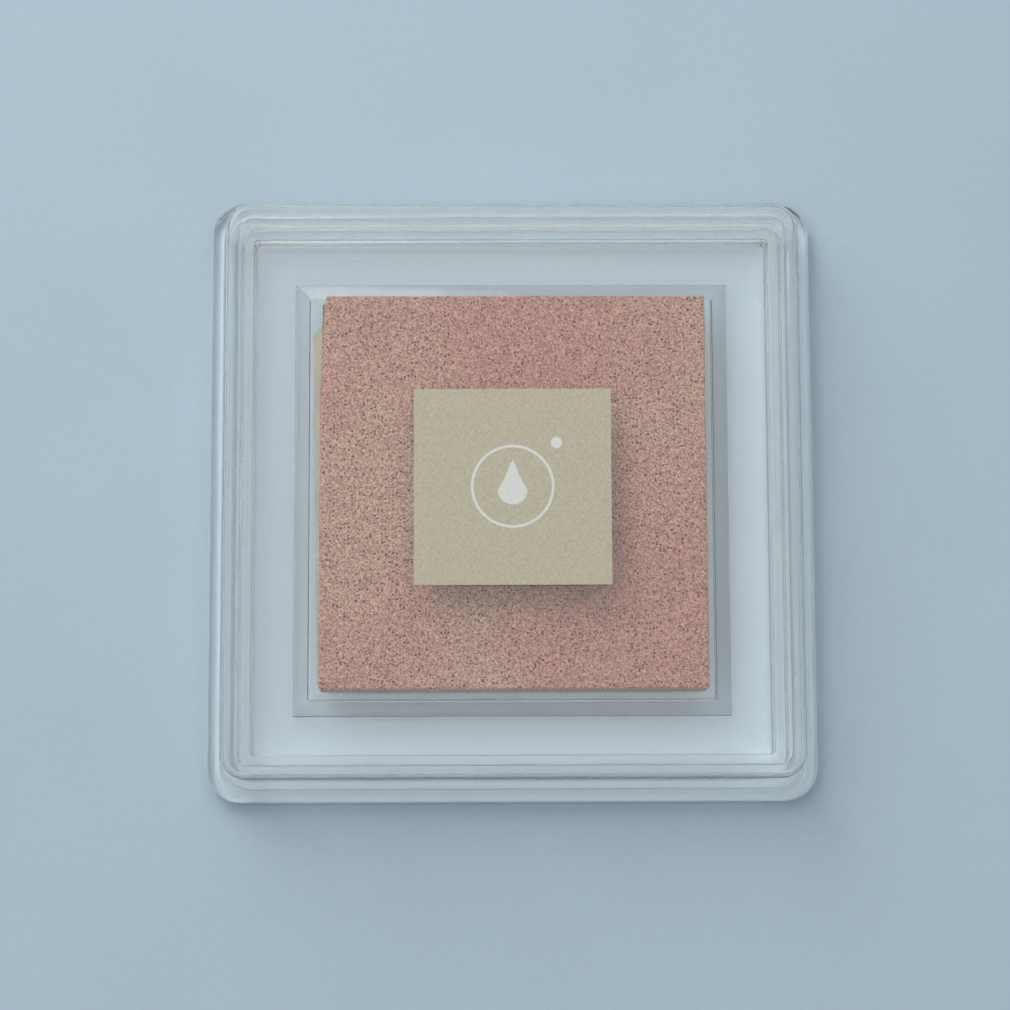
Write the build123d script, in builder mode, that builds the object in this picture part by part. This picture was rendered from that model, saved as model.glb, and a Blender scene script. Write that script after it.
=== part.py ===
"""Ink pad: a foam pad on the raised platform of a clear moulded base, under a clear lift-off lid.

Millimetres, +Z up. The origin is the middle of the footprint, at the height of the surface that the base
stands on. -Y is the front. The case is drawn around the pad, from the inside out.
"""
from build123d import *
import os

os.makedirs("parts", exist_ok=True)

# ---------------------------------------------------------------- pad
pad_size = 38.4                 # along Y
pad_trim = 0.6                  # the foam is cut this much narrower along X
pad_thickness = 4.23
pad_offset = 0.1                # it is stuck down by hand, a little right of the middle
adhesive_over = 0.4             # the adhesive sheet is this much wider than the foam along X
adhesive_short = 1.8            # and this much shorter along Y
adhesive_thickness = 0.15
adhesive_offset = -0.35         # the sheet shows along the pad's left edge
adhesive_turn = 0.9             # degrees
adhesive_clip = 1.6             # its back left corner is cut off
layer_gap = 0.01                # between stacked layers

# ---------------------------------------------------------------- base
pad_margin = 0.8                # platform beyond the pad, on each side
platform_slope = 1.5            # width of the platform's sloped side
platform_height = 0.6
channel_width = 3.93            # floor between the platform and the ring
ring_wall = 1.0                 # upstanding wall inside the lid
ring_height = 3.0
ring_corner = 0.45              # inside corner of the ring
ring_edge_round = 0.15
ring_foot_round = 0.2           # where the ring's inside meets the floor
platform_edge_round = 0.1       # top edges, sloped corners and foot of the platform
flange_border = 1.25            # flange beyond the lid's lip
flange_corner = 3.4
flange_height = 2.0             # from the table to the top of the flange and floor
flange_edge_round = 0.25
floor_wall = 1.2                # thickness of the flange and floor
platform_wall = 1.0             # thickness of the platform
hollow_step = 0.15              # steep steps where the slope of the hollow under the platform starts and ends
hollow_foot_margin = 0.1        # width of the step at its foot
hollow_top_margin = 0.08        # width of the step at its top
foot_rim_wall = 1.1             # skirt under the flange's edge, which meets the table

nib_length = 7.2                # low nibs on the ring's left and right, which hold the lid
nib_height = 1.2
nib_drop = 0.7                  # from the ring's top to the top of the nib
nib_lid_gap = 0.04

# ---------------------------------------------------------------- lid
pad_headroom = 3.1              # between the pad and the lid's ceiling
lid_ring_gap = 0.12             # between the ring and the inside of the lid, all round
lid_flange_gap = 0.05           # between the lip and the flange
lid_wall = 1.25
lid_top_wall = 1.1
lid_corner = 2.5                # outside corner of the wall
lid_edge_round = 0.65
lip_overhang = 0.95             # thin lip round the lid's bottom edge
lip_height = 1.0
lip_edge_round = 0.2
ceiling_edge_round = 0.15       # where the ceiling meets the wall, inside

gate_mark_inset = 3.8           # from the outside of the lid, in X and in Y, to the stub that the gate left
gate_mark_radius = 0.43
gate_mark_height = 0.1
pin_mark_radius = 0.8           # ejector pin marks inside the lid, at the middle of each side
pin_mark_depth = 0.05
pin_mark_inset = 1.0            # from the inside of the wall to the middle of the mark

# ---------------------------------------------------------------- label
label_size = 18.9
label_thickness = 0.12
label_corner = 0.15

# ---------------------------------------------------------------- sizes that follow from them
weld = 0.05                     # depth by which a feature is sunk into the moulding that it grows from

pad_width = pad_size - pad_trim
platform_top = pad_size + 2 * pad_margin
platform_bottom = platform_top + 2 * platform_slope
hollow_bottom = platform_bottom + 2 * hollow_foot_margin
hollow_top = platform_top - 2 * hollow_top_margin
ring_inside = platform_bottom + 2 * channel_width
ring_outside = ring_inside + 2 * ring_wall
lid_inside = ring_outside + 2 * lid_ring_gap
lid_inside_corner = lid_corner - lid_wall
ring_outside_corner = lid_inside_corner - lid_ring_gap
lid_size = lid_inside + 2 * lid_wall
lip_size = lid_size + 2 * lip_overhang
lip_corner = lid_corner + lip_overhang
flange_size = lip_size + 2 * flange_border
underside_recess = flange_size - 2 * foot_rim_wall
underside_recess_corner = flange_corner - foot_rim_wall

floor_bottom = flange_height - floor_wall
platform_level = flange_height + platform_height
hollow_level = platform_level - platform_wall
ring_top = flange_height + ring_height
nib_middle = ring_top - nib_drop - nib_height / 2
nib_reach = lid_inside / 2 - nib_lid_gap
adhesive_bottom = platform_level + layer_gap
pad_bottom = adhesive_bottom + adhesive_thickness + layer_gap
lid_bottom = flange_height + lid_flange_gap
lip_top = lid_bottom + lip_height
ceiling = pad_bottom + pad_thickness + pad_headroom
lid_top = ceiling + lid_top_wall
gate_mark_place = lid_size / 2 - gate_mark_inset

# ---------------------------------------------------------------- base tray
with BuildPart() as base_tray:
    # flange, with its edge rounded
    with BuildSketch(Plane.XY):
        RectangleRounded(flange_size, flange_size, flange_corner)
    extrude(amount=flange_height)
    fillet(base_tray.faces().filter_by(Axis.Z).edges(), radius=flange_edge_round)

    # ring wall, inside the lid
    with BuildSketch(Plane.XY.offset(flange_height - weld)):
        RectangleRounded(ring_outside, ring_outside, ring_outside_corner)
        RectangleRounded(ring_inside, ring_inside, ring_corner, mode=Mode.SUBTRACT)
    extrude(amount=ring_height + weld)
    fillet(base_tray.faces().sort_by(Axis.Z)[-1].edges(), radius=ring_edge_round)

    # raised platform with sloped sides
    with BuildSketch(Plane.XY.offset(flange_height)):
        Rectangle(platform_bottom, platform_bottom)
    with BuildSketch(Plane.XY.offset(platform_level)):
        Rectangle(platform_top, platform_top)
    loft(ruled=True)

    # the moulding's small rounds: the platform's edges and foot, and the foot of the ring
    reach = platform_bottom / 2 + weld
    platform_edges = base_tray.edges().filter_by(
        lambda edge: edge.center().Z > flange_height - weld
        and abs(edge.center().X) < reach
        and abs(edge.center().Y) < reach
    )
    fillet(platform_edges, radius=platform_edge_round)
    ring_foot = base_tray.edges().filter_by(
        lambda edge: abs(edge.center().Z - flange_height) < weld / 2
        and reach < max(abs(edge.center().X), abs(edge.center().Y)) < (ring_inside + ring_wall) / 2
    )
    fillet(ring_foot, radius=ring_foot_round)

    # recess under the flange and floor, which leaves the foot rim
    with BuildSketch(Plane.XY):
        RectangleRounded(underside_recess, underside_recess, underside_recess_corner)
    extrude(amount=floor_bottom, mode=Mode.SUBTRACT)

    # hollow under the platform, which follows its slope between two small steps
    hollow = (
        (floor_bottom, hollow_bottom),
        (floor_bottom + hollow_step, platform_bottom),
        (hollow_level - hollow_step, platform_top),
        (hollow_level, hollow_top),
    )
    for (low, low_size), (high, high_size) in zip(hollow, hollow[1:]):
        with BuildSketch(Plane.XY.offset(low)):
            Rectangle(low_size, low_size)
        with BuildSketch(Plane.XY.offset(high)):
            Rectangle(high_size, high_size)
        loft(ruled=True, mode=Mode.SUBTRACT)

    # nibs on the ring's left and right
    with BuildSketch(Plane.XZ.offset(-nib_length / 2)):
        for side in (-1, 1):
            with BuildLine():
                Polyline(
                    (side * (ring_outside / 2 - weld), nib_middle - nib_height / 2),
                    (side * nib_reach, nib_middle - nib_height / 6),
                    (side * nib_reach, nib_middle + nib_height / 6),
                    (side * (ring_outside / 2 - weld), nib_middle + nib_height / 2),
                    close=True,
                )
            make_face()
    extrude(amount=nib_length)

    # stub that the gate left, under the floor
    with BuildSketch(Plane.XY.offset(floor_bottom - gate_mark_height)):
        with Locations((gate_mark_place, gate_mark_place)):
            Circle(gate_mark_radius)
    extrude(amount=gate_mark_height + weld)

base_tray.part.label = "base_tray"
export_step(base_tray.part, "parts/base_tray.step")

# ---------------------------------------------------------------- adhesive sheet under the foam
with BuildPart() as pad_adhesive:
    with BuildSketch(Plane.XY.offset(adhesive_bottom)) as pad_adhesive_outline:
        with Locations(Location((adhesive_offset, 0), adhesive_turn)):
            Rectangle(pad_width + adhesive_over, pad_size - adhesive_short)
        back_corners = pad_adhesive_outline.vertices().sort_by(Axis.Y)[-2:]
        chamfer(back_corners.sort_by(Axis.X)[0], length=adhesive_clip)
    extrude(amount=adhesive_thickness)

pad_adhesive.part.label = "pad_adhesive"
export_step(pad_adhesive.part, "parts/pad_adhesive.step")

# ---------------------------------------------------------------- foam pad
with BuildPart() as foam_pad:
    with BuildSketch(Plane.XY.offset(pad_bottom)):
        with Locations((pad_offset, 0)):
            Rectangle(pad_width, pad_size)
    extrude(amount=pad_thickness)

foam_pad.part.label = "foam_pad"
export_step(foam_pad.part, "parts/foam_pad.step")

# ---------------------------------------------------------------- lid
with BuildPart() as lid:
    # wall and top, with the top edge rounded
    with BuildSketch(Plane.XY.offset(lid_bottom)):
        RectangleRounded(lid_size, lid_size, lid_corner)
    extrude(amount=lid_top - lid_bottom)
    fillet(lid.faces().sort_by(Axis.Z)[-1].edges(), radius=lid_edge_round)

    # lip round the bottom edge, rounded above and where it meets the wall
    with BuildSketch(Plane.XY.offset(lid_bottom)):
        RectangleRounded(lip_size, lip_size, lip_corner)
    extrude(amount=lip_height)
    lip_edges = lid.edges().filter_by_position(Axis.Z, lip_top - weld, lip_top + weld)
    fillet(lip_edges, radius=lip_edge_round)

    # inside
    with BuildSketch(Plane.XY.offset(lid_bottom)):
        RectangleRounded(lid_inside, lid_inside, lid_inside_corner)
    extrude(amount=ceiling - lid_bottom, mode=Mode.SUBTRACT)
    ceiling_edges = lid.edges().filter_by(
        lambda edge: abs(edge.center().Z - ceiling) < weld / 2
    )
    fillet(ceiling_edges, radius=ceiling_edge_round)

    # ejector pin marks in the ceiling, at the middle of each side
    with BuildSketch(Plane.XY.offset(ceiling)):
        with PolarLocations(lid_inside / 2 - pin_mark_inset, 4):
            Circle(pin_mark_radius)
    extrude(amount=pin_mark_depth, mode=Mode.SUBTRACT)

    # stub that the gate left, on top
    with BuildSketch(Plane.XY.offset(lid_top - weld)):
        with Locations((gate_mark_place, gate_mark_place)):
            Circle(gate_mark_radius)
    extrude(amount=gate_mark_height + weld)

lid.part.label = "lid"
export_step(lid.part, "parts/lid.step")

# ---------------------------------------------------------------- paper label on the lid
with BuildPart() as label:
    with BuildSketch(Plane.XY.offset(lid_top + layer_gap)):
        RectangleRounded(label_size, label_size, label_corner)
    extrude(amount=label_thickness)

label.part.label = "label"
export_step(label.part, "parts/label.step")

for piece in (base_tray, pad_adhesive, foam_pad, lid, label):
    size = piece.part.bounding_box().size
    print(piece.part.label, "%.2f x %.2f x %.2f mm, %.1f mm3" % (size.X, size.Y, size.Z, piece.part.volume))
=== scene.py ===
"""Finishes, foam, label print and studio for a small ink pad in a clear square case.

The case, its lid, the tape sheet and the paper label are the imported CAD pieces, and this file gives
them their finishes. It models what CAD leaves plain: the open-celled foam block and the label's ink.
"""

import math

import bpy
from bpy.props import FloatProperty, FloatVectorProperty, PointerProperty
from bpy.types import Operator, Panel, PropertyGroup
from mathutils import Matrix, Vector, noise


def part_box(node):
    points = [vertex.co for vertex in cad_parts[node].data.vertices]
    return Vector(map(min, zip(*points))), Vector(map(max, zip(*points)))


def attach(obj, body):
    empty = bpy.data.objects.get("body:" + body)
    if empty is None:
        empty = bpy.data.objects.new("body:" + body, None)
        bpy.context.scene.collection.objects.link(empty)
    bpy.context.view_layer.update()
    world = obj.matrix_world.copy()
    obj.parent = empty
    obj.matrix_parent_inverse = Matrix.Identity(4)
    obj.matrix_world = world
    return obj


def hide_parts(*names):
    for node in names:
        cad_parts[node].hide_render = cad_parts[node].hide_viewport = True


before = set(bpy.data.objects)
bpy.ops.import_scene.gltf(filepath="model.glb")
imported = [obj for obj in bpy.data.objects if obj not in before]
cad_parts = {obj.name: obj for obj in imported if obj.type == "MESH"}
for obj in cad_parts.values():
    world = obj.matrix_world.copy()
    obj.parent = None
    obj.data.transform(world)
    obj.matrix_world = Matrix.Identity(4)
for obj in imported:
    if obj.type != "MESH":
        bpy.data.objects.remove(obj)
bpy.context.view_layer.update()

bl_info = {
    "name": "Ink Pad Workshop",
    "version": (1, 0, 0),
    "blender": (4, 5, 0),
    "location": "3D View > Sidebar > Ink Pad",
    "description": "Gives a small ink pad its foam, label print, finishes and studio",
    "category": "Object",
}

MM = 0.001

# Studio
CARD_GAP = 0.01 * MM  # between the card and the foot of the base
AIM_HEIGHT = 2.0 * MM  # where the camera looks, above the foot of the base
NEAREST_SEEN = 0.01
SKY_EDGE = (0.5, 0.93)  # cosines of the angles at which the sky has faded and is at its brightest
LIGHT_BOUNCES = 20

# Patterns
FULL_RANGE = (0.0, 1.0)
NOISE_RANGE = (0.3, 0.7)  # most values of a noise texture lie in it
SCRATCH_TURN = 0.6
SCRATCH_STRETCH = 40  # a hairline's length over its width

# Foam
SIZE_FACTOR = 7.31  # parts the sizes of the cells from their places
WANDER_DEPTH, WANDER_LENGTH = 0.06 * MM, 6 * MM  # of a cut face that leaves its plane
GRAIN_DEPTH, GRAIN_LENGTH = 0.03 * MM, 0.4 * MM  # of the torn walls on a cut face
CELL_SHADE_GAIN = 1.3  # how soon a cell is painted fully dark with painted shade as it gets deeper

# Emblem
CIRCLE_POINTS = 96
INK_FILM = 0.012 * MM
FOOT_SHARE = 0.34  # radius of the drop's foot, as a share of its height
TAPER = 0.55  # how much narrower the drop gets towards its point
DROP_SHIFT = -0.08  # of the drop's foot from the ring's middle, in drop heights
DOT_PLACE = 1.053  # right and up of the ring's middle, in ring radii


# ---------------------------------------------------------------------------
# Colour, node and mesh helpers
# ---------------------------------------------------------------------------


def linear(code):
    """Turn an sRGB hex code into the linear red, green and blue that Blender works in."""
    parts = [int(code[i : i + 2], 16) / 255 for i in (0, 2, 4)]
    return tuple(p / 12.92 if p <= 0.04045 else ((p + 0.055) / 1.055) ** 2.4 for p in parts)


def rgba(colour):
    """A colour setting as the four numbers that a shader's socket takes."""
    return (*colour, 1.0)


def add_node(tree, kind, inputs=None, **settings):
    """Add a node with its settings, and set or link its inputs, which are named or numbered."""
    node = tree.nodes.new("ShaderNode" + kind)
    for name, value in settings.items():
        setattr(node, name, value)
    for socket, value in (inputs or {}).items():
        if isinstance(value, bpy.types.NodeSocket):
            tree.links.new(value, node.inputs[socket])
        else:
            node.inputs[socket].default_value = value
    return node


def noise_pattern(tree, place, size, detail, **inputs):
    """Noise whose patches are about one size across."""
    inputs = {"Vector": place, "Scale": 1 / size, "Detail": detail, **inputs}
    return add_node(tree, "TexNoise", inputs).outputs[0]


def map_range(tree, value, start, end=FULL_RANGE):
    """Carry a value from one range over to another, and hold it inside that one."""
    limits = {"From Min": start[0], "From Max": start[1], "To Min": end[0], "To Max": end[1]}
    return add_node(tree, "MapRange", {"Value": value, **limits}).outputs[0]


def calculate(tree, operation, first, second):
    """A sum that a Math node does."""
    return add_node(tree, "Math", {0: first, 1: second}, operation=operation).outputs[0]


def shaded(tree, colour, amount):
    """A colour setting made darker or lighter by an amount."""
    inputs = {0: tuple(colour), "Scale": amount}
    return add_node(tree, "VectorMath", inputs, operation="SCALE").outputs[0]


def blended(tree, share, first, second):
    """Two colours mixed by a share, which is 0 for the first and 1 for the second."""
    return add_node(tree, "Mix", {0: share, 6: first, 7: second}, data_type="RGBA").outputs[2]


def relief(tree, strength, distance, height):
    """A surface that rises and falls with a pattern by up to a distance."""
    inputs = {"Strength": strength, "Distance": distance, "Height": height}
    return add_node(tree, "Bump", inputs).outputs[0]


def finish_surface(tree, inputs):
    """End a material's tree in a Principled shader with these inputs."""
    shader = add_node(tree, "BsdfPrincipled", inputs)
    add_node(tree, "OutputMaterial", {"Surface": shader.outputs[0]})


def new_material(name):
    """An empty node material, its tree, and the Object coordinates that its patterns lie in."""
    material = bpy.data.materials.new(name)
    material.use_nodes = True
    tree = material.node_tree
    tree.nodes.clear()
    return material, tree, add_node(tree, "TexCoord").outputs["Object"]


def finish_node(name, material):
    """Give a CAD piece its finish."""
    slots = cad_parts[name].material_slots
    if not slots:
        raise RuntimeError(f"{name} has no material slot")
    for slot in slots:
        slot.material = material


def finish_piece(piece, body, material):
    """Give a new piece its finish, and hang it from the body that it moves with."""
    piece.data.materials.clear()
    piece.data.materials.append(material)
    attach(piece, body)


def start_shape():
    """Leave edit mode and deselect everything, so that the next operator acts on one shape alone."""
    if bpy.context.object and bpy.context.object.mode != "OBJECT":
        bpy.ops.object.mode_set(mode="OBJECT")
    bpy.ops.object.select_all(action="DESELECT")


def name_shape(name):
    """Name the active shape and its mesh, and move its place and size into the mesh."""
    shape = bpy.context.object
    shape.name = name
    shape.data.name = name
    bpy.ops.object.transform_apply(location=True, rotation=True, scale=True)
    return shape


# ---------------------------------------------------------------------------
# Settings
# ---------------------------------------------------------------------------


class StudioSettings(PropertyGroup):
    floor_colour: FloatVectorProperty(
        name="Floor colour",
        description="Matte card that the pad lies on",
        subtype="COLOR",
        default=linear("C3D8EA"),
        min=0.0,
        max=1.0,
    )
    floor_size: FloatProperty(
        name="Floor size", description="Width of the card", default=1.6, unit="LENGTH"
    )
    lens: FloatProperty(
        name="Lens", description="Focal length on a 36 mm sensor, in millimetres", default=86.3
    )
    distance: FloatProperty(
        name="Distance",
        description="From the lens to the middle of the base",
        default=240.7 * MM,
        unit="LENGTH",
    )
    tilt: FloatProperty(
        name="Tilt",
        description="How far the camera stands in front of straight above",
        default=math.radians(7.04),
        subtype="ANGLE",
        unit="ROTATION",
    )
    swing: FloatProperty(
        name="Swing",
        description="How far the camera leans to one side of straight above",
        default=math.radians(0.49),
        subtype="ANGLE",
        unit="ROTATION",
    )
    roll: FloatProperty(
        name="Roll",
        description="How far the pad is turned in the view",
        default=math.radians(0.21),
        subtype="ANGLE",
        unit="ROTATION",
    )
    off_centre: FloatVectorProperty(
        name="Off centre",
        description="How far right and up of the view's middle the pad lies",
        size=2,
        default=(0.66 * MM, 0.65 * MM),
        subtype="XYZ_LENGTH",
        unit="LENGTH",
    )
    sky_colour: FloatVectorProperty(
        name="Sky colour",
        description="Light from overhead",
        subtype="COLOR",
        default=linear("F3F5F4"),
    )
    sky_strength: FloatProperty(
        name="Sky strength",
        description="Brightness of the light from overhead",
        default=1.22,
    )
    sky_middle: FloatVectorProperty(
        name="Sky middle",
        description="Direction of the brightest sky, left of straight above and behind it",
        default=(-0.17, 0.22, 0.96),
        subtype="DIRECTION",
    )
    room_strength: FloatProperty(
        name="Room strength",
        description="Brightness of the room at the height of the pad",
        default=0.07,
    )
    key_colour: FloatVectorProperty(
        name="Window colour",
        description="Light from the soft window",
        subtype="COLOR",
        default=linear("FFFDF8"),
    )
    key_power: FloatProperty(
        name="Window power",
        description="Power of the soft window in watts",
        default=0.12,
    )
    key_place: FloatVectorProperty(
        name="Window place",
        description="Middle of the soft window, left of the pad and behind it",
        default=(-0.12, 0.15, 0.30),
        subtype="TRANSLATION",
        unit="LENGTH",
    )
    key_size: FloatProperty(
        name="Window size",
        description="Side of the square window",
        default=0.12,
        unit="LENGTH",
    )
    low_power: FloatProperty(
        name="Low window power",
        description="Power of the low window in watts",
        default=0.38,
    )
    low_place: FloatVectorProperty(
        name="Low window place",
        description="Middle of the low window, farther behind the pad",
        default=(-0.15, 0.33, 0.2),
        subtype="TRANSLATION",
        unit="LENGTH",
    )
    low_size: FloatProperty(
        name="Low window size",
        description="Side of the low window",
        default=0.28,
        unit="LENGTH",
    )


class CaseSettings(PropertyGroup):
    tint: FloatVectorProperty(
        name="Tint",
        description="Cast of the clear plastic",
        subtype="COLOR",
        default=linear("FFFFFE"),
    )
    ripple: FloatProperty(
        name="Ripple",
        description="Height of the faint waves left by the melt",
        default=0.0008 * MM,
        unit="LENGTH",
    )


class TapeSettings(PropertyGroup):
    colour: FloatVectorProperty(
        name="Tape colour",
        description="Tissue tape under the foam",
        subtype="COLOR",
        default=linear("C4C2B2"),
    )


class FoamSettings(PropertyGroup):
    grid: FloatProperty(
        name="Grid",
        description="Distance between the foam's mesh points",
        default=0.125 * MM,
        unit="LENGTH",
    )
    cell_spacing: FloatProperty(
        name="Cell spacing",
        description="Between the centres of large open cells",
        default=0.8 * MM,
        unit="LENGTH",
    )
    cell_radius: FloatVectorProperty(
        name="Cell radius",
        description="Radius of the smallest and largest of the large open cells",
        size=2,
        default=(0.05 * MM, 0.13 * MM),
        unit="LENGTH",
    )
    edge_radius: FloatProperty(
        name="Edge radius",
        description="Softness of the block's cut edges",
        default=0.3 * MM,
        unit="LENGTH",
    )
    fine_cell_spacing: FloatProperty(
        name="Fine cell spacing",
        description="Between the centres of small open cells",
        default=0.36 * MM,
        unit="LENGTH",
    )
    cell_wall: FloatProperty(
        name="Cell wall",
        description="Width of the walls that catch the light",
        default=0.19 * MM,
        unit="LENGTH",
    )
    back_growth: FloatProperty(
        name="Back growth",
        description="How far the block was cut past its size at the back",
        default=0.25 * MM,
        unit="LENGTH",
    )
    corner_cut: FloatProperty(
        name="Corner cut",
        description="How far the cut ran in at the back left corner",
        default=0.55 * MM,
        unit="LENGTH",
    )
    corner_reach: FloatProperty(
        name="Corner reach",
        description="How far along the left side that cut can be seen",
        default=4.5 * MM,
        unit="LENGTH",
    )
    light_colour: FloatVectorProperty(
        name="Dry colour",
        description="Foam where it holds less ink",
        subtype="COLOR",
        default=linear("C39885"),
    )
    pink_colour: FloatVectorProperty(
        name="Inked colour",
        description="Foam where it holds more ink",
        subtype="COLOR",
        default=linear("C08679"),
    )
    # Painted shade: the open cells are painted this dark colour where their hollows lie in shade.
    pore_shade_colour: FloatVectorProperty(
        name="Pore colour",
        description="Ink held in the open cells",
        subtype="COLOR",
        default=linear("782712"),
    )


class LabelSettings(PropertyGroup):
    paper_colour: FloatVectorProperty(
        name="Paper colour",
        description="Face of the label",
        subtype="COLOR",
        default=linear("D0C9B3"),
    )
    # Painted highlight: the label's cut edges are painted this lighter colour.
    edge_highlight_colour: FloatVectorProperty(
        name="Cut edge colour",
        description="Bare core where the paper was cut",
        subtype="COLOR",
        default=linear("F1EDDD"),
    )
    ink_colour: FloatVectorProperty(
        name="Print colour",
        description="Ink of the emblem",
        subtype="COLOR",
        default=linear("F2F4F2"),
    )
    ring_diameter: FloatProperty(
        name="Ring diameter", description="Printed ring, outside", default=8.0 * MM, unit="LENGTH"
    )
    line_width: FloatProperty(
        name="Line width",
        description="Width of the printed lines",
        default=0.26 * MM,
        unit="LENGTH",
    )
    drop_height: FloatProperty(
        name="Drop height", description="Printed ink drop", default=4.2 * MM, unit="LENGTH"
    )
    dot_diameter: FloatProperty(
        name="Dot diameter",
        description="Printed dot beside the ring",
        default=1.1 * MM,
        unit="LENGTH",
    )


# ---------------------------------------------------------------------------
# Materials
# ---------------------------------------------------------------------------


def clear_polystyrene(name, settings, seed):
    """Clear polystyrene, injection moulded in a polished mould: water clear, with bright glints on its
    edges, faint waves where the melt ran, and a few hairlines from handling."""
    material, tree, place = new_material(name)
    ripple = add_node(
        tree,
        "TexNoise",
        {"Vector": place, "Scale": 1 / (7 * MM), "Detail": 1.0, "W": seed},
        noise_dimensions="4D",
    )
    turn = (0, 0, SCRATCH_TURN + seed)
    stretch = (1, SCRATCH_STRETCH, 1)
    scratch_map = add_node(tree, "Mapping", {"Vector": place, "Rotation": turn, "Scale": stretch})
    scratch = add_node(
        tree,
        "TexNoise",
        {"Vector": scratch_map.outputs[0], "Scale": 1 / (9 * MM), "Detail": 2.0, "W": seed},
        noise_dimensions="4D",
    )
    hairline = map_range(tree, scratch.outputs[0], (0.66, 0.74))
    rough = map_range(tree, hairline, FULL_RANGE, (0.012, 0.06))
    waves = relief(tree, 1.0, settings.ripple, ripple.outputs[0])
    finish_surface(
        tree,
        {
            "Base Color": rgba(settings.tint),
            "Roughness": rough,
            "IOR": 1.59,
            "Transmission Weight": 1.0,
            "Normal": waves,
        },
    )
    return material


def tissue_tape(settings):
    """Double-sided tissue tape, cut from a sheet: a cream film with cloudy fibres, softly glossy."""
    material, tree, place = new_material("tissue_tape_cut")
    fibres = noise_pattern(tree, place, 0.5 * MM, 4.0, Distortion=1.5)
    clouds = noise_pattern(tree, place, 4 * MM, 2.0)
    shade = map_range(tree, fibres, NOISE_RANGE, (0.88, 1.06))
    tone = map_range(tree, clouds, NOISE_RANGE, (0.94, 1.04))
    both = calculate(tree, "MULTIPLY", shade, tone)
    colour = shaded(tree, settings.colour, both)
    bump = relief(tree, 0.4, 0.03 * MM, fibres)
    finish_surface(tree, {"Base Color": colour, "Roughness": 0.48, "IOR": 1.47, "Normal": bump})
    return material


def inked_foam_rubber(settings):
    """Open-celled foam rubber, die-cut and soaked with pigment ink: matt, with slow drifts of colour
    where it took up more ink,
    and painted light and shade: open cells painted dark, cell walls painted lighter and darker, pale
    painted highlight rims."""
    material, tree, place = new_material("foam_rubber_inked")
    drift = noise_pattern(tree, place, 13 * MM, 2.0, Roughness=0.4)
    share = map_range(tree, drift, (0.38, 0.62))
    base = blended(tree, share, rgba(settings.light_colour), rgba(settings.pink_colour))
    # Painted light and shade: the thin walls between the cells are painted lighter and darker, as if
    # they caught the light unevenly.
    grain = noise_pattern(tree, place, settings.cell_wall, 3.0, Roughness=0.75)
    shade = map_range(tree, grain, (0.34, 0.66), (0.1, 1.9))
    # Painted shade: cells too small for the mesh are drawn as dark points, with a dimple each in the
    # bump.
    cells = {"Vector": place, "Scale": 1 / settings.fine_cell_spacing}
    small = add_node(tree, "TexVoronoi", cells, feature="F1")
    size = add_node(tree, "SeparateColor", {"Color": small.outputs["Color"]})
    radius = map_range(tree, size.outputs[0], FULL_RANGE, (0.02, 0.42))
    inside = calculate(tree, "SUBTRACT", radius, small.outputs["Distance"])
    fine_pore_dimple_and_shade = map_range(tree, inside, (-0.04, 0.08))
    # Painted highlight: a pale rim round each small cell.
    painted_rim_highlight = map_range(tree, inside, (-0.3, -0.05), (0.0, 0.35))
    lit = calculate(tree, "ADD", shade, painted_rim_highlight)
    # The painted shade is made redder and the painted light paler, so that the shade keeps the foam's
    # hue.
    factors = {0: lit, 1: (0.75, 1.0, 1.1), 2: (0.25, 0.0, -0.1)}
    tint = add_node(tree, "VectorMath", factors, operation="MULTIPLY_ADD")
    walls = add_node(tree, "VectorMath", {0: base, 1: tint.outputs[0]}, operation="MULTIPLY")
    # Painted shade: the cut cells of the mesh are painted dark by how deep they are.
    cut = add_node(tree, "Attribute", attribute_name="cell", attribute_type="GEOMETRY")
    pore_shade = calculate(tree, "MAXIMUM", fine_pore_dimple_and_shade, cut.outputs["Fac"])
    colour = blended(tree, pore_shade, walls.outputs[0], rgba(settings.pore_shade_colour))
    height = calculate(tree, "SUBTRACT", grain, fine_pore_dimple_and_shade)
    bump = relief(tree, 1.0, 0.1 * MM, height)
    rough = map_range(tree, grain, FULL_RANGE, (0.62, 0.85))
    finish_surface(
        tree,
        {
            "Base Color": colour,
            "Roughness": rough,
            "IOR": 1.45,
            "Sheen Weight": 0.15,
            "Sheen Roughness": 0.6,
            "Normal": bump,
        },
    )
    return material


def label_paper(settings):
    """Uncoated self-adhesive paper, die-cut: a sand face with a fine felt mark, and cut edges painted
    lighter as a painted highlight."""
    material, tree, place = new_material("sticker_paper_uncoated")
    fibres = noise_pattern(tree, place, 0.22 * MM, 3.0, Roughness=0.6)
    felt_map = add_node(tree, "Mapping", {"Vector": place, "Rotation": (0, 0, math.radians(42))})
    felt = add_node(
        tree,
        "TexWave",
        {
            "Vector": felt_map.outputs[0],
            "Scale": 2 / (math.tau * 0.45 * MM),
            "Distortion": 2.5,
            "Detail": 2.0,
        },
        wave_type="BANDS",
    )
    shade = map_range(tree, fibres, NOISE_RANGE, (0.88, 1.1))
    marks = map_range(tree, felt.outputs["Fac"], FULL_RANGE, (0.985, 1.015))
    both = calculate(tree, "MULTIPLY", shade, marks)
    face = shaded(tree, settings.paper_colour, both)
    # Painted highlight: the cut edges, which face sideways, are painted lighter than the face.
    turned = add_node(tree, "SeparateXYZ", {0: add_node(tree, "TexCoord").outputs["Normal"]})
    side = add_node(tree, "Math", {0: turned.outputs["Z"]}, operation="ABSOLUTE")
    is_face = map_range(tree, side.outputs[0], (0.3, 0.7))
    colour = blended(tree, is_face, rgba(settings.edge_highlight_colour), face)
    bump = relief(tree, 0.35, 0.02 * MM, fibres)
    finish_surface(tree, {"Base Color": colour, "Roughness": 0.72, "IOR": 1.5, "Normal": bump})
    return material


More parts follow.
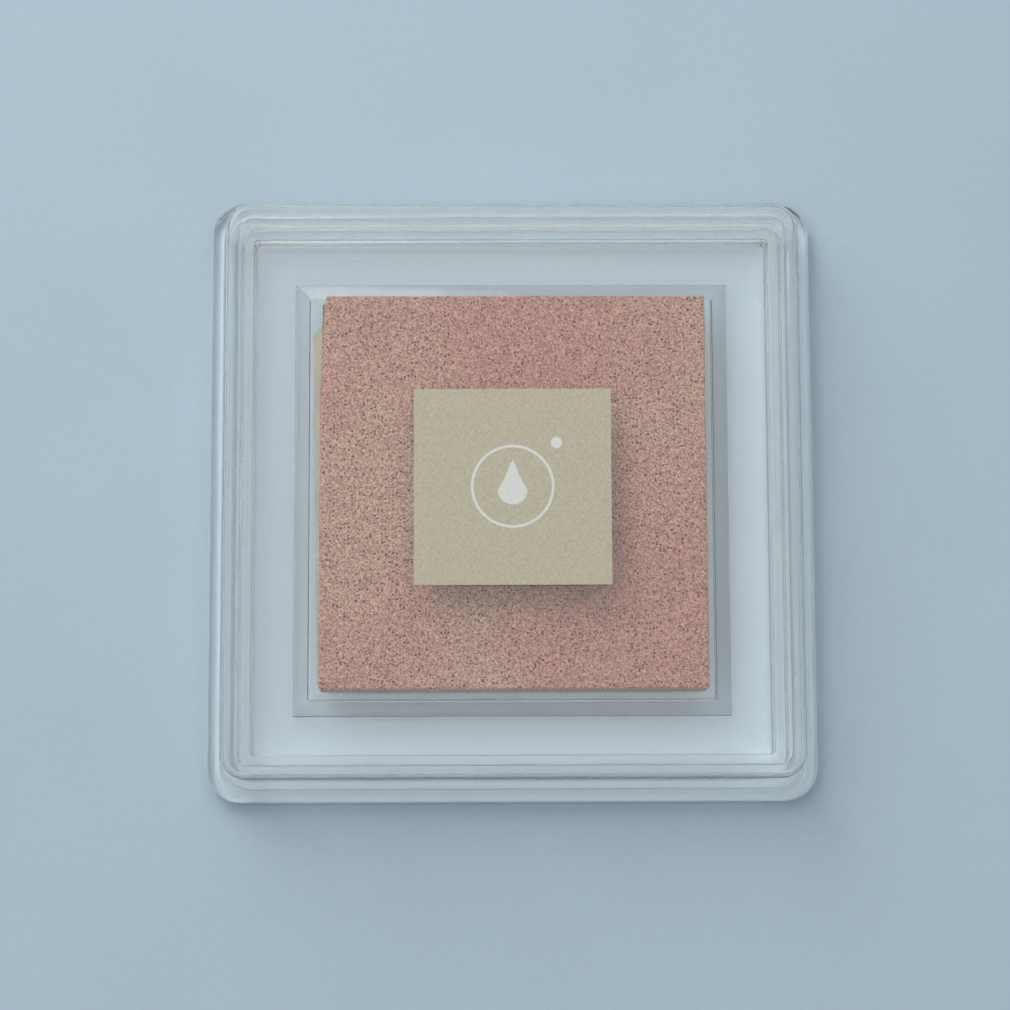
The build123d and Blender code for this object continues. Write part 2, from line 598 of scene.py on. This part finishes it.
def screen_ink(settings):
    """White screen-printing ink: an opaque satin film that lets a little of the paper's grain show."""
    material, tree, place = new_material("screen_ink_white")
    grain = noise_pattern(tree, place, 0.15 * MM, 2.0)
    shade = map_range(tree, grain, NOISE_RANGE, (0.9, 1.0))
    colour = shaded(tree, settings.ink_colour, shade)
    bump = relief(tree, 0.3, 0.01 * MM, grain)
    finish_surface(tree, {"Base Color": colour, "Roughness": 0.5, "IOR": 1.5, "Normal": bump})
    return material


def matte_card(settings):
    """Matte art card: pale and even, with a faint tooth of pressed fibres."""
    material, tree, place = new_material("art_card_matte")
    tooth = noise_pattern(tree, place, 0.9 * MM, 4.0, Roughness=0.6)
    clouds = noise_pattern(tree, place, 18 * MM, 2.0)
    shade = map_range(tree, tooth, NOISE_RANGE, (0.985, 1.015))
    tone = map_range(tree, clouds, NOISE_RANGE, (0.985, 1.015))
    both = calculate(tree, "MULTIPLY", shade, tone)
    colour = shaded(tree, settings.floor_colour, both)
    bump = relief(tree, 0.25, 0.05 * MM, tooth)
    finish_surface(tree, {"Base Color": colour, "Roughness": 0.9, "IOR": 1.45, "Normal": bump})
    return material


# ---------------------------------------------------------------------------
# The foam block
# ---------------------------------------------------------------------------


def open_cell(point, spacing, radii):
    """How far a cut face sinks into the round cell under a point, as a length, or 0 on a cell wall."""
    distances, centres = noise.voronoi(point / spacing)
    smallest, largest = radii
    size = noise.cell(centres[0] * SIZE_FACTOR)
    radius = smallest + (largest - smallest) * size * size
    reach = distances[0] * spacing
    if reach >= radius:
        return 0.0
    return math.sqrt(radius * radius - reach * reach)


def rounded(distance, radius):
    """How far a point near a sharp edge goes along its face, and how far in, to round the edge."""
    if distance >= radius:
        return 0.0, 0.0
    angle = math.pi / 4 * (1 - distance / radius)
    return radius * (1 - math.sin(angle)) - distance, radius * (1 - math.cos(angle))


def foam_block(low, high, settings):
    """A block of square mesh cells that fills a box: a grid on top, drawn down in rows and closed."""
    size = high - low
    start_shape()
    bpy.ops.mesh.primitive_grid_add(
        x_subdivisions=round(size.x / settings.grid),
        y_subdivisions=round(size.y / settings.grid),
        size=1,
        location=((low.x + high.x) / 2, (low.y + high.y) / 2, high.z),
    )
    bpy.ops.transform.resize(value=(size.x, size.y, 1))
    foam = name_shape("inked_foam_block")
    rows = round(size.z / settings.grid)
    bpy.ops.object.mode_set(mode="EDIT")
    bpy.ops.mesh.select_mode(type="EDGE")
    bpy.ops.mesh.select_all(action="DESELECT")
    bpy.ops.mesh.select_non_manifold(
        use_wire=False,
        use_boundary=True,
        use_multi_face=False,
        use_non_contiguous=False,
        use_verts=False,
    )
    for _ in range(rows):
        bpy.ops.mesh.extrude_edges_move(TRANSFORM_OT_translate={"value": (0, 0, -size.z / rows)})
    bpy.ops.mesh.edge_face_add()
    bpy.ops.mesh.select_all(action="SELECT")
    bpy.ops.mesh.normals_make_consistent(inside=False)
    bpy.ops.object.mode_set(mode="OBJECT")
    return foam


def open_the_cells(foam, low, high, settings):
    """Round the block's edges, sink its cut cells and let its faces wander, always into the block."""
    middle = (low + high) / 2
    half = (high - low) / 2
    radius = settings.edge_radius
    near = settings.grid / 10
    cell_shade_shares = []
    for vertex in foam.data.vertices:
        place = vertex.co.copy()
        right, back = place.x - middle.x, place.y - middle.y
        away = Vector((half.x - abs(right), half.y - abs(back), high.z - place.z))
        side = Vector((math.copysign(1, right), math.copysign(1, back), 1))
        if place.z < low.z + near:
            cell_shade_shares.append(0.0)
            continue
        inward = Vector([-side[i] if away[i] < near else 0.0 for i in range(3)])
        if place.x < middle.x:
            share = 2 * (middle.x - place.x) / (high.x - low.x)
            fade = math.exp((place.y - high.y) / settings.corner_reach)
            place.x += settings.corner_cut * share**4 * fade
        cell = open_cell(place, settings.cell_spacing, settings.cell_radius)
        wander = 0.5 + 0.5 * noise.noise(place / WANDER_LENGTH)
        grain = 0.5 + 0.5 * noise.noise(place / GRAIN_LENGTH)
        sink = cell + WANDER_DEPTH * wander + GRAIN_DEPTH * grain
        moved = place + inward.normalized() * sink
        for i in range(3):
            for j in range(3):
                if i != j and away[i] < near:
                    along, inwards = rounded(away[j], radius)
                    moved[i] -= side[i] * inwards
                    moved[j] -= side[j] * along if away[j] >= near else 0.0
        vertex.co = moved
        # Painted shade: the deeper a cut cell sinks, the darker it is painted.
        cell_shade_shares.append(min(1.0, cell / settings.cell_radius[1] * CELL_SHADE_GAIN))
    layer = foam.data.attributes.new("cell", "FLOAT", "POINT")
    layer.data.foreach_set("value", cell_shade_shares)


# ---------------------------------------------------------------------------
# The label's print
# ---------------------------------------------------------------------------


def printed_disc(name, centre, radius, line=None):
    """A flat disc of ink, or a ring of it where a line width is given."""
    start_shape()
    bpy.ops.mesh.primitive_circle_add(
        vertices=CIRCLE_POINTS, radius=radius, fill_type="NGON", location=centre
    )
    shape = name_shape(name)
    if line:
        bpy.ops.object.mode_set(mode="EDIT")
        bpy.ops.mesh.select_all(action="SELECT")
        bpy.ops.mesh.inset(thickness=line)
        bpy.ops.mesh.delete(type="FACE")
        bpy.ops.object.mode_set(mode="OBJECT")
    return shape


def printed_drop(name, centre, height):
    """A flat drop of ink: a round foot that narrows to a point at the top."""
    foot = height * FOOT_SHARE
    shape = printed_disc(name, centre, foot)
    for vertex in shape.data.vertices:
        angle = math.atan2(vertex.co.x - centre.x, vertex.co.y - centre.y)
        up = max(0.0, math.cos(angle))
        vertex.co.x = centre.x + (vertex.co.x - centre.x) * (1 - TAPER * up)
        vertex.co.y += (height - 2 * foot) * up**3
    return shape


def lay_ink(pieces, name, thickness):
    """Join the flat shapes of a print and give them the thickness of a film of ink."""
    start_shape()
    for piece in pieces:
        piece.select_set(True)
    bpy.context.view_layer.objects.active = pieces[0]
    bpy.ops.object.join()
    print_piece = name_shape(name)
    film = print_piece.modifiers.new("film", "SOLIDIFY")
    film.thickness = thickness
    film.offset = 1.0
    bpy.ops.object.modifier_apply(modifier=film.name)
    return print_piece


# ---------------------------------------------------------------------------
# Operators
# ---------------------------------------------------------------------------


class INKPAD_OT_studio(Operator):
    """Lay the card, hang the lights and set up the camera"""

    bl_idname = "inkpad.studio"
    bl_label = "Studio"

    def execute(self, context):
        settings = context.scene.inkpad_studio
        self.lay_card(settings)
        self.light_room(context.scene, settings)
        for name, place, size, power in (
            ("soft_window", settings.key_place, settings.key_size, settings.key_power),
            ("low_window", settings.low_place, settings.low_size, settings.low_power),
        ):
            self.hang_window(name, place, size, power, settings.key_colour)
        self.place_camera(context.scene, settings)
        return {"FINISHED"}

    def lay_card(self, settings):
        start_shape()
        bpy.ops.mesh.primitive_grid_add(
            x_subdivisions=8, y_subdivisions=8, size=settings.floor_size, location=(0, 0, -CARD_GAP)
        )
        card = name_shape("studio_floor")
        card.data.materials.append(matte_card(settings))

    def light_room(self, scene, settings):
        """Sky overhead that dims towards a quieter room all round."""
        world = bpy.data.worlds.new("studio_sky")
        world.use_nodes = True
        tree = world.node_tree
        tree.nodes.clear()
        looking = add_node(tree, "TexCoord").outputs["Generated"]
        middle = Vector(settings.sky_middle).normalized()
        rise = add_node(tree, "VectorMath", {0: looking, 1: middle}, operation="DOT_PRODUCT")
        dome = add_node(
            tree,
            "MapRange",
            {
                "Value": rise.outputs["Value"],
                "From Min": SKY_EDGE[0],
                "From Max": SKY_EDGE[1],
                "To Min": settings.room_strength,
                "To Max": settings.sky_strength,
            },
            interpolation_type="SMOOTHSTEP",
        )
        light = {"Color": rgba(settings.sky_colour), "Strength": dome.outputs[0]}
        sky = add_node(tree, "Background", light)
        add_node(tree, "OutputWorld", {"Surface": sky.outputs[0]})
        scene.world = world
        scene.view_settings.view_transform = "Standard"
        # Light finds its way through every wall of the case, without being blurred on the way.
        scene.cycles.max_bounces = LIGHT_BOUNCES
        scene.cycles.transmission_bounces = LIGHT_BOUNCES
        scene.cycles.blur_glossy = 0.0

    def hang_window(self, name, place, size, power, colour):
        """A square soft light that faces the pad."""
        lamp = bpy.data.lights.new(name, "AREA")
        lamp.shape = "SQUARE"
        lamp.size = size
        lamp.energy = power
        lamp.color = colour
        window = bpy.data.objects.new(name, lamp)
        window.location = place
        window.rotation_euler = (-window.location).to_track_quat("-Z", "Y").to_euler()
        bpy.context.collection.objects.link(window)

    def place_camera(self, scene, settings):
        """Above the pad and slightly in front of it, looking at the middle of the base."""
        lens = bpy.data.cameras.new("camera")
        lens.lens = settings.lens
        lens.clip_start = NEAREST_SEEN
        camera = bpy.data.objects.new("camera", lens)
        turned = (
            Matrix.Rotation(-settings.tilt, 4, "X")
            @ Matrix.Rotation(settings.swing, 4, "Y")
            @ Matrix.Rotation(settings.roll, 4, "Z")
        )
        aim = Matrix.Translation((0, 0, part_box("base_tray")[0].z + AIM_HEIGHT))
        right, up = settings.off_centre
        moved = Matrix.Translation((-right, -up, settings.distance))
        camera.matrix_world = aim @ turned.inverted() @ moved
        bpy.context.collection.objects.link(camera)
        scene.camera = camera


class INKPAD_OT_case(Operator):
    """Finish the base and the lid in clear plastic"""

    bl_idname = "inkpad.case"
    bl_label = "Clear case"

    def execute(self, context):
        settings = context.scene.inkpad_case
        finish_node("base_tray", clear_polystyrene("polystyrene_clear_base", settings, seed=0.0))
        finish_node("lid", clear_polystyrene("polystyrene_clear_lid", settings, seed=1.7))
        return {"FINISHED"}


class INKPAD_OT_tape(Operator):
    """Finish the tape that holds the foam"""

    bl_idname = "inkpad.tape"
    bl_label = "Tape"

    def execute(self, context):
        finish_node("pad_adhesive", tissue_tape(context.scene.inkpad_tape))
        return {"FINISHED"}


class INKPAD_OT_foam(Operator):
    """Model the open-celled foam block where CAD has its plain solid"""

    bl_idname = "inkpad.foam"
    bl_label = "Foam"

    def execute(self, context):
        settings = context.scene.inkpad_foam
        low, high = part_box("foam_pad")
        high.y += settings.back_growth
        foam = foam_block(low, high, settings)
        open_the_cells(foam, low, high, settings)
        start_shape()
        foam.select_set(True)
        context.view_layer.objects.active = foam
        bpy.ops.object.shade_smooth()
        finish_piece(foam, "base", inked_foam_rubber(settings))
        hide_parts("foam_pad")
        return {"FINISHED"}


class INKPAD_OT_label(Operator):
    """Finish the paper label and print its emblem"""

    bl_idname = "inkpad.label"
    bl_label = "Label"

    def execute(self, context):
        settings = context.scene.inkpad_label
        finish_node("label", label_paper(settings))
        low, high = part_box("label")
        centre = Vector(((low.x + high.x) / 2, (low.y + high.y) / 2, high.z))
        radius = settings.ring_diameter / 2
        beside = Vector((1, 1, 0)) * DOT_PLACE * radius
        below = Vector((0, DROP_SHIFT * settings.drop_height, 0))
        pieces = [
            printed_disc("ring", centre, radius, settings.line_width),
            printed_drop("drop", centre + below, settings.drop_height),
            printed_disc("dot", centre + beside, settings.dot_diameter / 2),
        ]
        emblem = lay_ink(pieces, "label_print", INK_FILM)
        finish_piece(emblem, "cover", screen_ink(settings))
        return {"FINISHED"}


class INKPAD_PT_workshop(Panel):
    bl_label = "Ink Pad"
    bl_idname = "INKPAD_PT_workshop"
    bl_space_type = "VIEW_3D"
    bl_region_type = "UI"
    bl_category = "Ink Pad"

    def draw(self, context):
        for operator, group in STEPS:
            box = self.layout.box()
            box.operator(operator.bl_idname)
            settings = getattr(context.scene, group)
            for name in type(settings).__annotations__:
                box.prop(settings, name)


STEPS = (
    (INKPAD_OT_studio, "inkpad_studio"),
    (INKPAD_OT_case, "inkpad_case"),
    (INKPAD_OT_tape, "inkpad_tape"),
    (INKPAD_OT_foam, "inkpad_foam"),
    (INKPAD_OT_label, "inkpad_label"),
)
GROUPS = {
    "inkpad_studio": StudioSettings,
    "inkpad_case": CaseSettings,
    "inkpad_tape": TapeSettings,
    "inkpad_foam": FoamSettings,
    "inkpad_label": LabelSettings,
}


def register():
    for name, group in GROUPS.items():
        bpy.utils.register_class(group)
        setattr(bpy.types.Scene, name, PointerProperty(type=group))
    for operator, _ in STEPS:
        bpy.utils.register_class(operator)
    bpy.utils.register_class(INKPAD_PT_workshop)


def unregister():
    bpy.utils.unregister_class(INKPAD_PT_workshop)
    for operator, _ in reversed(STEPS):
        bpy.utils.unregister_class(operator)
    for name, group in reversed(GROUPS.items()):
        delattr(bpy.types.Scene, name)
        bpy.utils.unregister_class(group)


def main():
    register()
    bpy.ops.inkpad.studio()
    bpy.ops.inkpad.case()
    bpy.ops.inkpad.tape()
    bpy.ops.inkpad.foam()
    bpy.ops.inkpad.label()


if __name__ == "__main__":
    main()
